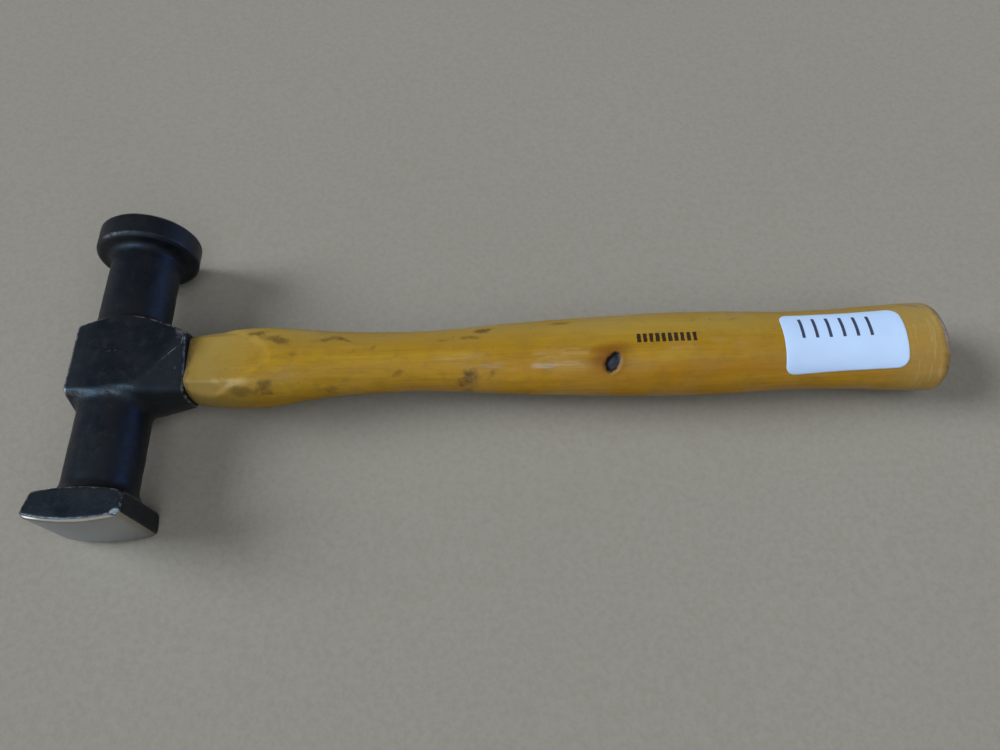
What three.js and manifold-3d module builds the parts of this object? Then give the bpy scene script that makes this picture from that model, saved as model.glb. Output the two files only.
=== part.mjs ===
// A double-faced planishing hammer lying on its side. Millimetres, +Z up.
//
// Each piece is modelled in the hammer's own frame: the origin is where the head's axis (Y) crosses the
// handle's axis (X), +X runs along the handle to the butt, +Y points to the round face, and +Z comes out
// of the upper cheek. The whole hammer is then turned a little so that it rests on three points: the rim
// of the round face, the low corner of the square face and the butt of the handle.
import * as THREE from "three";
import { mergeVertices } from "three/addons/utils/BufferGeometryUtils.js";
import Module from "manifold-3d";

const wasm = await Module();
wasm.setup();

const DEGREE = Math.PI / 180;
const GAP = 0.3; // clearance between touching pieces
const REACH = 60; // longer than any cut that has to run right through the head

// Round end, turned about the head's axis
const ROUND_FACE_Y = 62;
const ROUND_RADIUS = 20;
const ROUND_EDGE = 1;
const ROUND_BACK_Y = 52;
const UPPER_NECK_RADIUS = 13.3;
const NECK_FILLET = 2;

// Square end: a turned flange cut by four flats, with a face crowned in one direction
const LOWER_NECK_RADIUS = 13.05;
const SQUARE_HALF = 16.3;
const SQUARE_LEFT = 17; // the flat towards the eye end stands a little further out
const SQUARE_TURN = 1.7 * DEGREE;
const SQUARE_CORNER_Y = -62.4;
const SQUARE_CROWN_RADIUS = 66;
const SQUARE_BEVEL = 1.2;
const FLANGE_RADIUS = 23.8;
const FLANGE_BACK_Y = -52.2;

// Eye block: a bar with a turned far shoulder and a leaning near side
const BLOCK_EYE_END_X = -13.8;
const BLOCK_MOUTH_X = 27.5;
const CHEEK_Z = 14;
const FACET_START_X = 10; // from here the near corners of the mouth are planed off, above and below
const FACET_START_Y = -15;
const FACET_ALONG = 0.36; // how fast the facet drops towards the mouth
const FACET_ACROSS = 0.262; // how fast it rises towards the round end
const SHOULDER_CENTRE_X = 3;
const SHOULDER_RADIUS = 34;
const FAR_SHOULDER_Y = 16.8;
const FAR_SHOULDER_SLOPE = 0.55;
const NEAR_SIDE_Y = -18; // half way down the block, where the near side stands out most
const NEAR_SIDE_LEAN = 3.4; // how far it has come in at the cheeks
const NEAR_TAPER_X = 12; // from here to the mouth the near side comes in
const NEAR_MOUTH_Y = -14;

// Eye: an oval hole along X, narrow in the middle of its length and flared at both ends
const EYE_CENTRE_Y = -1.2;
const EYE_HALF_WIDTH = 10.2;
const EYE_HALF_HEIGHT = 6;
const EYE_FLARE = 0.5;

// Handle
const TENON_END_X = BLOCK_EYE_END_X - 0.4;
const BUTT_X = 322;
const BUTT_ROUNDING = 4.5;
// [x, half width, half thickness, roundness] where roundness 2 is an ellipse and more is squarer
const HANDLE_STATIONS = [
  [BLOCK_MOUTH_X + GAP, 12.0, 9.8, 3.6],
  [36, 14.0, 10.3, 3.6],
  [44, 15.0, 10.8, 3.2],
  [54, 15.75, 11.5, 2.6],
  [64, 15.15, 11.9, 2.2],
  [74, 14.2, 11.5, 2.1],
  [84, 13.25, 11.2, 2],
  [98, 12.45, 10.8, 2],
  [114, 12.1, 10.65, 2],
  [130, 12.9, 11.1, 2],
  [146, 14.05, 11.8, 2],
  [162, 15.15, 12.5, 2],
  [178, 16.0, 13.1, 2],
  [194, 16.7, 13.5, 2],
  [212, 17.25, 13.8, 2],
  [230, 17.25, 13.9, 2],
  [248, 16.8, 13.6, 2],
  [264, 16.35, 13.35, 2],
  [280, 16.6, 13.6, 2],
  [296, 17.4, 14.3, 2],
  [308, 18.1, 14.9, 2],
  [BUTT_X - BUTT_ROUNDING, 18.4, 15.1, 2],
];

// Wedges in the tenon: the wood wedge lies along the eye's width, the steel ones cross it
const KERF_X = 14;
const KERF_HALF_THICKNESS = 1.1;
const WOOD_WEDGE_TIP_HALF = 0.35;
const STEEL_WEDGE_Y = 5;
const STEEL_WEDGE_DEPTH = 11;
const STEEL_WEDGE_HALF_WIDTH = 4;
const STEEL_WEDGE_HALF_THICKNESS = 0.9;
const STEEL_WEDGE_TIP_HALF = 0.3;

// Paper label wrapped over the top of the grip
const LABEL_START_X = 257;
const LABEL_END_X = 304;
const LABEL_NEAR_START_ANGLE = -60.5 * DEGREE; // measured from the top of the handle, towards -Y
const LABEL_NEAR_END_ANGLE = -50 * DEGREE;
const LABEL_FAR_ANGLE = 36 * DEGREE;
const LABEL_CORNER = 4;
const LABEL_THICKNESS = 0.25;

// How the hammer lies
const REST_PITCH = 0.645 * DEGREE; // the handle slopes down to the butt
const REST_ROLL = 1.48 * DEGREE; // the square end lies lower than the round end

const STEEL = { color: 0x1f2226, roughness: 0.42, metalness: 0.85 };
const HICKORY = { color: 0xb98a2c, roughness: 0.38, metalness: 0 };
const WEDGE_WOOD = { color: 0xa98a55, roughness: 0.7, metalness: 0 };
const BARE_STEEL = { color: 0x6d6f72, roughness: 0.45, metalness: 0.9 };
const PAPER = { color: 0xc9dcf2, roughness: 0.6, metalness: 0 };

// ---- Helpers ----

function solidFrom(geometry) {
  const bare = geometry.index ? geometry.toNonIndexed() : geometry.clone();
  bare.deleteAttribute("normal");
  bare.deleteAttribute("uv");
  const merged = mergeVertices(bare, 1e-4);
  return new wasm.Manifold(
    new wasm.Mesh({
      numProp: 3,
      vertProperties: new Float32Array(merged.attributes.position.array),
      triVerts: new Uint32Array(merged.index.array),
    }),
  );
}

function geometryFrom(solid) {
  const mesh = solid.getMesh();
  const geometry = new THREE.BufferGeometry();
  geometry.setAttribute("position", new THREE.BufferAttribute(mesh.vertProperties, 3));
  geometry.setIndex(new THREE.BufferAttribute(mesh.triVerts, 1));
  geometry.computeVertexNormals();
  return geometry;
}

function namedMesh(name, geometry, look) {
  const mesh = new THREE.Mesh(geometry, new THREE.MeshStandardMaterial(look));
  mesh.name = name;
  return mesh;
}

// A solid of revolution about the head's axis from [radius, y] points listed upwards in y
function turned(profile, segments = 64) {
  const points = profile.map(([radius, y]) => new THREE.Vector2(radius, y));
  return solidFrom(new THREE.LatheGeometry(points, segments));
}

// Points on a quarter round from one profile point to another about a centre
function arc(centreRadius, centreY, size, from, to, steps = 4) {
  const points = [];
  for (let step = 0; step <= steps; step += 1) {
    const angle = from + ((to - from) * step) / steps;
    points.push([centreRadius + size * Math.cos(angle), centreY + size * Math.sin(angle)]);
  }
  return points;
}

// An outline in X and Z, pulled along Y from low to high
function prismAlongY(outline, low, high) {
  const shape = new THREE.Shape(outline.map(([x, z]) => new THREE.Vector2(x, z)));
  const geometry = new THREE.ExtrudeGeometry(shape, { depth: high - low, bevelEnabled: false });
  geometry.rotateX(Math.PI / 2);
  geometry.translate(0, high, 0);
  return solidFrom(geometry);
}

// A point on a rounded section: roundness 2 gives an ellipse, larger values a rounded rectangle
function sectionPoint(angle, halfWidth, halfHeight, roundness) {
  const c = Math.cos(angle);
  const s = Math.sin(angle);
  return [
    halfWidth * Math.sign(c) * Math.abs(c) ** (2 / roundness),
    halfHeight * Math.sign(s) * Math.abs(s) ** (2 / roundness),
  ];
}

// A closed solid through sections {x, centreY, halfWidth, halfHeight, roundness} listed along +X
function loft(sections, around = 36) {
  const positions = [];
  for (const { x, centreY, halfWidth, halfHeight, roundness } of sections) {
    for (let step = 0; step < around; step += 1) {
      const angle = (step / around) * 2 * Math.PI;
      const [y, z] = sectionPoint(angle, halfWidth, halfHeight, roundness);
      positions.push(x, centreY + y, z);
    }
  }
  const first = sections[0];
  const last = sections[sections.length - 1];
  positions.push(first.x, first.centreY, 0, last.x, last.centreY, 0);
  const startCentre = sections.length * around;
  const endCentre = startCentre + 1;
  const lastRing = (sections.length - 1) * around;
  const triangles = [];
  for (let step = 0; step < around; step += 1) {
    const next = (step + 1) % around;
    for (let ring = 0; ring < lastRing; ring += around) {
      const a = ring + step;
      const b = ring + next;
      triangles.push(a, b, b + around, a, b + around, a + around);
    }
    triangles.push(startCentre, next, step);
    triangles.push(endCentre, lastRing + step, lastRing + next);
  }
  const geometry = new THREE.BufferGeometry();
  geometry.setAttribute("position", new THREE.Float32BufferAttribute(positions, 3));
  geometry.setIndex(triangles);
  return geometry;
}

// A box that tapers along X, given its half width and half height at each end
function taperedBox(startX, endX, centreY, start, end) {
  const geometry = new THREE.BoxGeometry(2, 2, 2);
  const corners = geometry.attributes.position;
  for (let index = 0; index < corners.count; index += 1) {
    const atStart = corners.getX(index) < 0;
    const [halfWidth, halfHeight] = atStart ? start : end;
    const y = centreY + halfWidth * corners.getY(index);
    corners.setXYZ(index, atStart ? startX : endX, y, halfHeight * corners.getZ(index));
  }
  geometry.computeVertexNormals();
  return geometry;
}

// ---- Head ----

function roundEnd() {
  const filletTop = ROUND_BACK_Y - 0.7;
  return turned([
    [0, 0],
    [UPPER_NECK_RADIUS, 0],
    ...arc(UPPER_NECK_RADIUS + NECK_FILLET, filletTop - NECK_FILLET, NECK_FILLET, Math.PI, Math.PI / 2),
    [ROUND_RADIUS - 2.6, filletTop],
    [ROUND_RADIUS - 0.5, ROUND_BACK_Y],
    [ROUND_RADIUS, ROUND_BACK_Y + 0.6],
    ...arc(ROUND_RADIUS - ROUND_EDGE, ROUND_FACE_Y - ROUND_EDGE, ROUND_EDGE, 0, Math.PI / 2, 3),
    [0, ROUND_FACE_Y],
  ]);
}

function lowerNeck() {
  return turned([
    [0, FLANGE_BACK_Y - 2],
    [LOWER_NECK_RADIUS, FLANGE_BACK_Y - 2],
    [LOWER_NECK_RADIUS, 0],
    [0, 0],
  ]);
}

// A turned bell cut by four flats, then by the crowned face
function squareEnd() {
  const lowest = SQUARE_CORNER_Y - 6;
  const bell = turned([
    [0, lowest],
    [FLANGE_RADIUS, lowest],
    [FLANGE_RADIUS, FLANGE_BACK_Y - 4],
    [FLANGE_RADIUS - 1.6, FLANGE_BACK_Y - 2],
    [SQUARE_HALF, FLANGE_BACK_Y],
    [LOWER_NECK_RADIUS + 0.9, FLANGE_BACK_Y + 1.2],
    [LOWER_NECK_RADIUS, FLANGE_BACK_Y + 3],
    [0, FLANGE_BACK_Y + 3],
  ]);
  const half = SQUARE_HALF;
  const outline = [
    [-SQUARE_LEFT, -half],
    [half, -half],
    [half, half],
    [-SQUARE_LEFT, half],
  ];
  const flats = prismAlongY(outline, lowest - 1, FLANGE_BACK_Y + 4);
  const crown = new THREE.CylinderGeometry(SQUARE_CROWN_RADIUS, SQUARE_CROWN_RADIUS, 2 * REACH, 128);
  crown.rotateX(Math.PI / 2);
  const rise = SQUARE_CROWN_RADIUS - Math.sqrt(SQUARE_CROWN_RADIUS ** 2 - half ** 2);
  crown.translate(0, SQUARE_CORNER_Y - rise + SQUARE_CROWN_RADIUS, 0);
  const cap = flats.intersect(solidFrom(crown)).intersect(squareBevel());
  const turn = SQUARE_TURN / DEGREE;
  return bell.intersect(cap.rotate([0, turn, 0]));
}

// A flat pyramid that takes the sharp edge off all four sides of the square face
function squareBevel() {
  const start = SQUARE_HALF + 6;
  const startY = SQUARE_CORNER_Y + SQUARE_BEVEL + 6;
  const end = SQUARE_HALF - 6;
  const endY = SQUARE_CORNER_Y + SQUARE_BEVEL - 6;
  const pyramid = new THREE.CylinderGeometry(start * Math.SQRT2, end * Math.SQRT2, startY - endY, 4);
  pyramid.rotateY(Math.PI / 4);
  pyramid.translate(0, (startY + endY) / 2, 0);
  const back = new THREE.BoxGeometry(2 * start, 2 * REACH, 2 * start);
  back.translate(0, startY + REACH - 0.5, 0);
  return solidFrom(pyramid).add(solidFrom(back));
}

function eyeBlock() {
  const outline = [
    [BLOCK_EYE_END_X, -CHEEK_Z],
    [BLOCK_MOUTH_X, -CHEEK_Z],
    [BLOCK_MOUTH_X, CHEEK_Z],
    [BLOCK_EYE_END_X, CHEEK_Z],
  ];
  const drop = FAR_SHOULDER_SLOPE * (SHOULDER_RADIUS - CHEEK_Z);
  const shoulder = new THREE.LatheGeometry(
    [
      new THREE.Vector2(0, -REACH),
      new THREE.Vector2(SHOULDER_RADIUS, -REACH),
      new THREE.Vector2(SHOULDER_RADIUS, FAR_SHOULDER_Y - drop),
      new THREE.Vector2(CHEEK_Z, FAR_SHOULDER_Y),
      new THREE.Vector2(0, FAR_SHOULDER_Y),
    ],
    96,
  );
  shoulder.translate(SHOULDER_CENTRE_X, 0, 0);
  return prismAlongY(outline, -REACH, REACH)
    .intersect(solidFrom(shoulder))
    .intersect(nearSide())
    .intersect(nearTaper())
    .subtract(mouthFacet(1))
    .subtract(mouthFacet(-1));
}

// A box that stands on the facet above (side 1) or below (side -1), to be cut away
function mouthFacet(side) {
  const box = new THREE.BoxGeometry(REACH, REACH, REACH);
  box.translate(0, 0, REACH / 2);
  const outward = new THREE.Vector3(FACET_ALONG, -FACET_ACROSS, side).normalize();
  const turn = new THREE.Quaternion().setFromUnitVectors(new THREE.Vector3(0, 0, 1), outward);
  box.applyQuaternion(turn);
  box.translate(FACET_START_X, FACET_START_Y, side * CHEEK_Z);
  return solidFrom(box);
}

// The near side curves in towards both cheeks: an outline in Z and Y, pulled along X
function nearSide() {
  const shape = new THREE.Shape();
  const steps = 8;
  shape.moveTo(-CHEEK_Z - 1, REACH);
  for (let step = 0; step <= steps; step += 1) {
    const across = (2 * step) / steps - 1;
    shape.lineTo(across * (CHEEK_Z + 1), NEAR_SIDE_Y + NEAR_SIDE_LEAN * across ** 2);
  }
  shape.lineTo(CHEEK_Z + 1, REACH);
  const geometry = new THREE.ExtrudeGeometry(shape, { depth: 2 * REACH, bevelEnabled: false });
  geometry.rotateY(-Math.PI / 2);
  geometry.translate(REACH, 0, 0);
  return solidFrom(geometry);
}

// The near side comes in again from the middle of the block to the mouth: an outline in X and Y
function nearTaper() {
  const shape = new THREE.Shape([
    new THREE.Vector2(-REACH, NEAR_SIDE_Y - 1),
    new THREE.Vector2(NEAR_TAPER_X, NEAR_SIDE_Y),
    new THREE.Vector2(BLOCK_MOUTH_X + 1, NEAR_MOUTH_Y),
    new THREE.Vector2(BLOCK_MOUTH_X + 1, REACH),
    new THREE.Vector2(-REACH, REACH),
  ]);
  const geometry = new THREE.ExtrudeGeometry(shape, { depth: 2 * REACH, bevelEnabled: false });
  geometry.translate(0, 0, -REACH);
  return solidFrom(geometry);
}

// The eye's half sizes at a place along X, grown by a margin
function eyeSection(x, margin) {
  const middle = (BLOCK_EYE_END_X + BLOCK_MOUTH_X) / 2;
  const along = Math.abs(x - middle) / (BLOCK_MOUTH_X - middle);
  const flare = EYE_FLARE * along ** 2;
  return {
    x,
    centreY: EYE_CENTRE_Y,
    halfWidth: EYE_HALF_WIDTH + flare + margin,
    halfHeight: EYE_HALF_HEIGHT + flare + margin,
    roundness: 2.8,
  };
}

function eyeSections(startX, endX, margin, count = 7) {
  const sections = [];
  for (let step = 0; step < count; step += 1) {
    sections.push(eyeSection(startX + ((endX - startX) * step) / (count - 1), margin));
  }
  return sections;
}

function hammerHead() {
  const eye = solidFrom(loft(eyeSections(BLOCK_EYE_END_X - 2, BLOCK_MOUTH_X + 2, 0)));
  const forging = roundEnd().add(lowerNeck()).add(squareEnd()).add(eyeBlock());
  return geometryFrom(forging.subtract(eye));
}

// ---- Handle ----

// Half width, half thickness and roundness anywhere along the handle outside the head
function handleSection(x) {
  const last = HANDLE_STATIONS.length - 1;
  let index = 0;
  while (index < last - 1 && HANDLE_STATIONS[index + 1][0] < x) index += 1;
  const before = HANDLE_STATIONS[Math.max(index - 1, 0)];
  const start = HANDLE_STATIONS[index];
  const end = HANDLE_STATIONS[index + 1];
  const after = HANDLE_STATIONS[Math.min(index + 2, last)];
  const span = end[0] - start[0];
  const t = Math.min(Math.max((x - start[0]) / span, 0), 1);
  const [halfWidth, halfHeight, roundness] = [1, 2, 3].map((column) => {
    const startSlope = (end[column] - before[column]) / (end[0] - before[0]);
    const endSlope = (after[column] - start[column]) / (after[0] - start[0]);
    return (
      start[column] * (2 * t ** 3 - 3 * t ** 2 + 1) +
      startSlope * span * (t ** 3 - 2 * t ** 2 + t) +
      end[column] * (3 * t ** 2 - 2 * t ** 3) +
      endSlope * span * (t ** 3 - t ** 2)
    );
  });
  const nearHead = THREE.MathUtils.clamp((75 - x) / 38, 0, 1);
  return { x, centreY: EYE_CENTRE_Y * nearHead, halfWidth, halfHeight, roundness };
}

function gripSections() {
  const sections = [];
  const start = BLOCK_MOUTH_X + GAP;
  const end = BUTT_X - BUTT_ROUNDING;
  const count = 48;
  for (let step = 0; step <= count; step += 1) {
    sections.push(handleSection(start + ((end - start) * step) / count));
  }
  const butt = sections[sections.length - 1];
  for (const angle of [22.5, 45, 67.5, 90]) {
    const inset = BUTT_ROUNDING * (1 - Math.cos(angle * DEGREE));
    sections.push({
      ...butt,
      x: end + BUTT_ROUNDING * Math.sin(angle * DEGREE),
      halfWidth: butt.halfWidth - inset,
      halfHeight: butt.halfHeight - inset,
    });
  }
  return sections;
}

function kerf() {
  return solidFrom(
    taperedBox(
      TENON_END_X - 1,
      KERF_X,
      EYE_CENTRE_Y,
      [REACH, KERF_HALF_THICKNESS],
      [REACH, WOOD_WEDGE_TIP_HALF],
    ),
  );
}

function handle() {
  const grip = solidFrom(loft(gripSections()));
  const tenon = solidFrom(loft(eyeSections(TENON_END_X, BLOCK_MOUTH_X + 1, -GAP)));
  return geometryFrom(grip.add(tenon).subtract(kerf()).subtract(steelWedgeSlots(GAP)));
}

// ---- Wedges ----

function steelWedge(side, margin) {
  const y = EYE_CENTRE_Y + side * STEEL_WEDGE_Y;
  return taperedBox(
    TENON_END_X - margin,
    TENON_END_X + STEEL_WEDGE_DEPTH + margin,
    y,
    [STEEL_WEDGE_HALF_THICKNESS + margin, STEEL_WEDGE_HALF_WIDTH + margin],
    [STEEL_WEDGE_TIP_HALF + margin, STEEL_WEDGE_HALF_WIDTH + margin],
  );
}

function steelWedgeSlots(margin) {
  return solidFrom(steelWedge(-1, margin)).add(solidFrom(steelWedge(1, margin)));
}

// The wood wedge fills the kerf inside the eye, and the steel wedges are driven across it
function woodWedge() {
  const blank = solidFrom(
    taperedBox(
      TENON_END_X,
      KERF_X - 1.5,
      EYE_CENTRE_Y,
      [EYE_HALF_WIDTH - 0.6, KERF_HALF_THICKNESS - GAP],
      [EYE_HALF_WIDTH - 0.6, WOOD_WEDGE_TIP_HALF - 0.2],
    ),
  );
  return geometryFrom(blank.subtract(steelWedgeSlots(GAP)));
}

// ---- Label ----

// A point on the handle's surface pushed out by a distance, at an angle from the top towards +Y
function aroundHandle(x, angle, lift) {
  const { halfWidth, halfHeight } = handleSection(x);
  const normal = new THREE.Vector2(Math.sin(angle) / halfWidth, Math.cos(angle) / halfHeight).normalize();
  return [
    x,
    halfWidth * Math.sin(angle) + lift * normal.x,
    halfHeight * Math.cos(angle) + lift * normal.y,
  ];
}

// Columns run along X and close in at the label's rounded corners, rows run round the handle
function label() {
  const cornerAngle = LABEL_CORNER / 15;
  const columns = [0, 30, 60, 90].map((turn) => [
    LABEL_CORNER * (1 - Math.cos(turn * DEGREE)),
    cornerAngle * (1 - Math.sin(turn * DEGREE)),
  ]);
  const stations = [
    ...columns.map(([offset, inset]) => [LABEL_START_X + offset, inset]),
    ...[0.25, 0.5, 0.75].map((t) => [
      THREE.MathUtils.lerp(LABEL_START_X + LABEL_CORNER, LABEL_END_X - LABEL_CORNER, t),
      0,
    ]),
    ...columns.reverse().map(([offset, inset]) => [LABEL_END_X - offset, inset]),
  ];
  const rows = 16;
  const positions = [];
  for (const lift of [GAP, GAP + LABEL_THICKNESS]) {
    for (const [x, inset] of stations) {
      const along = (x - LABEL_START_X) / (LABEL_END_X - LABEL_START_X);
      const near = THREE.MathUtils.lerp(LABEL_NEAR_START_ANGLE, LABEL_NEAR_END_ANGLE, along) + inset;
      const far = LABEL_FAR_ANGLE - inset;
      for (let row = 0; row <= rows; row += 1) {
        positions.push(...aroundHandle(x, THREE.MathUtils.lerp(near, far, row / rows), lift));
      }
    }
  }
  const ring = rows + 1;
  const outer = stations.length * ring;
  const triangles = [];
  const quad = (a, b, c, d) => triangles.push(a, b, c, a, c, d);
  for (let column = 0; column < stations.length - 1; column += 1) {
    const start = column * ring;
    for (let row = 0; row < rows; row += 1) {
      const a = start + row;
      quad(outer + a, outer + a + ring, outer + a + ring + 1, outer + a + 1);
      quad(a, a + 1, a + ring + 1, a + ring);
    }
    quad(start, start + ring, outer + start + ring, outer + start);
    quad(start + rows, outer + start + rows, outer + start + rows + ring, start + rows + ring);
  }
  const lastColumn = (stations.length - 1) * ring;
  for (let row = 0; row < rows; row += 1) {
    quad(row, outer + row, outer + row + 1, row + 1);
    quad(lastColumn + row, lastColumn + row + 1, outer + lastColumn + row + 1, outer + lastColumn + row);
  }
  const geometry = new THREE.BufferGeometry();
  geometry.setAttribute("position", new THREE.Float32BufferAttribute(positions, 3));
  geometry.setIndex(triangles);
  return geometry;
}

// ---- Assembly ----

const hammer = new THREE.Group();
hammer.add(namedMesh("hammer_head", hammerHead(), STEEL));
hammer.add(namedMesh("handle", handle(), HICKORY));
hammer.add(namedMesh("wood_wedge", woodWedge(), WEDGE_WOOD));
hammer.add(namedMesh("steel_wedge_1", steelWedge(-1, 0), BARE_STEEL));
hammer.add(namedMesh("steel_wedge_2", steelWedge(1, 0), BARE_STEEL));
hammer.add(namedMesh("label", label(), PAPER));

// Lay the hammer down, then set the origin at the middle of the base of its box
hammer.rotation.set(REST_ROLL, REST_PITCH, 0, "YXZ");
const part = new THREE.Group();
part.add(hammer);
part.updateMatrixWorld(true);
const box = new THREE.Box3().setFromObject(part, true);
hammer.position.set(-(box.min.x + box.max.x) / 2, -(box.min.y + box.max.y) / 2, -box.min.z);

export default part;
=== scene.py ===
"""A double-faced planishing hammer lying on its side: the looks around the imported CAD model.

Shapes are described in the hammer's own frame, in millimetres: the origin is where the head's axis (Y)
crosses the handle's axis (X), +X runs to the butt, +Y to the round face and +Z out of the upper cheek.
The near side is the -Y side and the far side is the +Y side.
Each piece is made in that frame, and then its mesh is tilted and moved to where the hammer lies.
"""

import math

import bpy
import numpy as np
from mathutils import Matrix, Vector


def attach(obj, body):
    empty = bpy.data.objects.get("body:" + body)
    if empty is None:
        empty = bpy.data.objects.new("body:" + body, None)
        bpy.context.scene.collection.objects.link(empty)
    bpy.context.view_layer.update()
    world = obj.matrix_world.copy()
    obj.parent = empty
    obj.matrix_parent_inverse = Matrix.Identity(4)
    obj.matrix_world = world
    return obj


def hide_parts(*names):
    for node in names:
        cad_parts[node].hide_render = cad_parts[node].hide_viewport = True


MM = 0.001

# How the hammer lies, as in the CAD model
HAMMER_ORIGIN = Vector((-151.058, 1.145, 18.668)) * MM
REST_PITCH = math.radians(0.645)
REST_ROLL = math.radians(1.48)

# Round end
ROUND_FACE_Y = 61.85
ROUND_RADIUS = 19.95
ROUND_CHAMFER_START_Y = 52.5  # the back edge of the rim is chamfered from here
ROUND_CHAMFER_INSET = 1.4
ROUND_BACK_Y = 51.2
UPPER_NECK_RADIUS = 13.3
UPPER_NECK_FILLET = 3.4
NECK_REACH = 56  # both necks run this far from the axis, into the ends

# Square end
LOWER_NECK_RADIUS = 13.05
LOWER_NECK_FILLET = 3.6
SQUARE_HALF = 16.3
SQUARE_LEFT = 17  # its left side stands a little further out
SQUARE_TURN = math.radians(1.7)
SQUARE_POLE_Y = -64.35
SQUARE_CROWN_RADIUS = 66
SQUARE_BEVEL = 1.25
SQUARE_FRONT_Y = -62  # the flange narrows from here to its back
SQUARE_LEFT_LEAN = 0.25  # and leans in towards its back
DING_DIRECTION = (0.30, -0.42, 0.86)  # a ding in the upper right corner faces this way
DING_CORNER_Y = -62.4
DING_DEPTH = 1.3
DING_CENTRE = (15.3, -61.6, 15.7)
DING_SPOT = (2.1, 1.8, 1.9)
FLANGE_RADIUS = 23.8  # its corners are turned to this radius
FLANGE_TAPER = 0.2
FLANGE_BACK_Y = -52.1
FLANGE_BACK_SLOPE = 0.25
FLANGE_RIGHT_BACK_Y = -53.8
FLANGE_RIGHT_BACK_SLOPE = 0.5

# Eye block
EYE_END_X = -13.8
MOUTH_X = 27.5
CHEEK_Z = 14
FACET_START = (10, -15)  # (x, y) on the cheeks where the near corners of the mouth start to fall away
FACET_ALONG = 0.36
FACET_ACROSS = 0.262
SHOULDER_CENTRE_X = 3
FAR_SHOULDER_Y = 16.8
FAR_SHOULDER_SLOPE = 0.55
NEAR_SIDE_Y = -18
NEAR_SIDE_CURVE = 0.0175
NEAR_TAPER_START_X = 12
NEAR_TAPER_SLOPE = 0.22
NEAR_EDGE_WEAR = 1.1  # the middle of the near upper edge is worn further back than its ends
NEAR_EDGE_WEAR_X = (5, 5.5)  # where, and how far along
BLOCK_FILLET = 3.2

# Eye
EYE_CENTRE_Y = -1.2
EYE_HALF_WIDTH = 10.2
EYE_HALF_HEIGHT = 6
EYE_FLARE = 0.5
EYE_ROUNDNESS = 2.8
EYE_RIM = 0.7
TENON_CLEARANCE = 0.1

# Grid in which the head's surface is found
HEAD_CELL = 0.5
HEAD_GRID_LOW = (-22.8, -65.55, -21.2)
HEAD_GRID_HIGH = (28.7, 63.05, 21.2)
EDGE_REACH = 0.6  # edges are told from faces by how the surface bends within this distance

# Handle: x, half width, half thickness and roundness (2 is an ellipse, more is squarer)
HANDLE_START_X = 27.65
BUTT_X = 321.9
BUTT_ROUNDING = 4.6
HANDLE_STATIONS = (
    (HANDLE_START_X, 12.3, 12.2, 2.8),
    (34, 13.9, 12.2, 2.8),
    (42, 14.85, 12.2, 2.8),
    (50, 15.5, 12.2, 2.7),
    (56, 15.75, 12.15, 2.5),
    (66, 15.0, 11.9, 2.2),
    (74, 14.2, 11.5, 2.1),
    (84, 13.2, 11.2, 2.0),
    (98, 12.45, 10.8, 2.0),
    (114, 12.1, 10.65, 2.0),
    (130, 12.9, 11.1, 2.0),
    (146, 14.1, 11.8, 2.0),
    (162, 15.1, 12.5, 2.0),
    (178, 15.95, 13.1, 2.0),
    (194, 16.7, 13.5, 2.0),
    (210, 17.2, 13.8, 2.0),
    (226, 17.3, 13.9, 2.0),
    (242, 17.1, 13.7, 2.0),
    (258, 16.4, 13.4, 2.0),
    (270, 16.3, 13.4, 2.0),
    (282, 16.6, 13.7, 2.0),
    (298, 17.5, 14.3, 2.0),
    (308, 18.1, 14.8, 2.0),
    (BUTT_X - BUTT_ROUNDING, 18.35, 15.0, 2.0),
)
# Flats planed on the head end: degrees from the top towards +Y, distance from the axis at the mouth, slope
PLANED_FLATS = (
    (0, 9.85, 0.036),
    (-48, 13.3, 0.065),
    (48, 13.5, 0.035),
    (180, 9.85, 0.036),
    (-132, 13.3, 0.065),
    (132, 13.1, 0.065),
)
FLATS_RUN_OUT = (55, 66, 2.6)  # the x where the flats start to rise, where they stop, and how far
RUN_OUT_CURVE = 0.09  # how much sooner they rise away from the middle
HANDLE_RING_STEP = 0.7
HANDLE_RING_POINTS = 160
MOUTH_INSET = 0.25  # the wood draws in where it meets the steel

# The knot's pit: centre (x, y), half length, half width, turn of the long side from +X
KNOT = (190.2, -8.6, 4.1, 2.7, math.radians(58))
DENTS = (
    # the same, for each dent: x, y, half length, half width, turn, depth, how dirty
    (133.6, -12.5, 3.9, 1.9, 0.4, 0.35, 1.0),
    (125.6, 3.6, 2.6, 1.0, 0.05, 0.16, 0.75),
    (134.9, 4.2, 3.0, 0.8, -0.05, 0.12, 0.45),
    (141.2, 7.6, 2.4, 0.9, 0.2, 0.15, 0.8),
    (61.5, 5.6, 3.4, 1.1, -0.3, 0.2, 0.65),
    (54.0, 8.9, 3.0, 0.8, 0.25, 0.15, 0.6),
    (58.8, -12.9, 3.2, 1.5, 0.5, 0.25, 0.7),
    (80.5, 5.4, 4.0, 0.9, 0.15, 0.1, 0.5),
    (88.5, 5.0, 3.2, 0.7, -0.4, 0.1, 0.45),
    (68.5, -1.2, 2.0, 1.0, 0.0, 0.1, 0.3),
    (98.8, 1.2, 1.2, 0.6, 0.9, 0.03, 0.35),
    (144.5, -10.2, 1.5, 0.9, 0.6, 0.12, 0.5),
    (82.0, -12.8, 2.2, 0.8, 0.1, 0.12, 0.5),
    (171.0, 9.6, 2.4, 0.7, 0.1, 0.08, 0.35),
    (240.0, 8.8, 2.0, 0.6, 0.3, 0.08, 0.3),
    (108.0, -8.6, 1.6, 0.6, 0.2, 0.08, 0.3),
    (312.5, 12.6, 3.0, 0.8, -0.3, 0.15, 0.6),
    (50.0, -14.2, 6.0, 0.9, -0.08, 0.04, 0.5),
)

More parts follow.
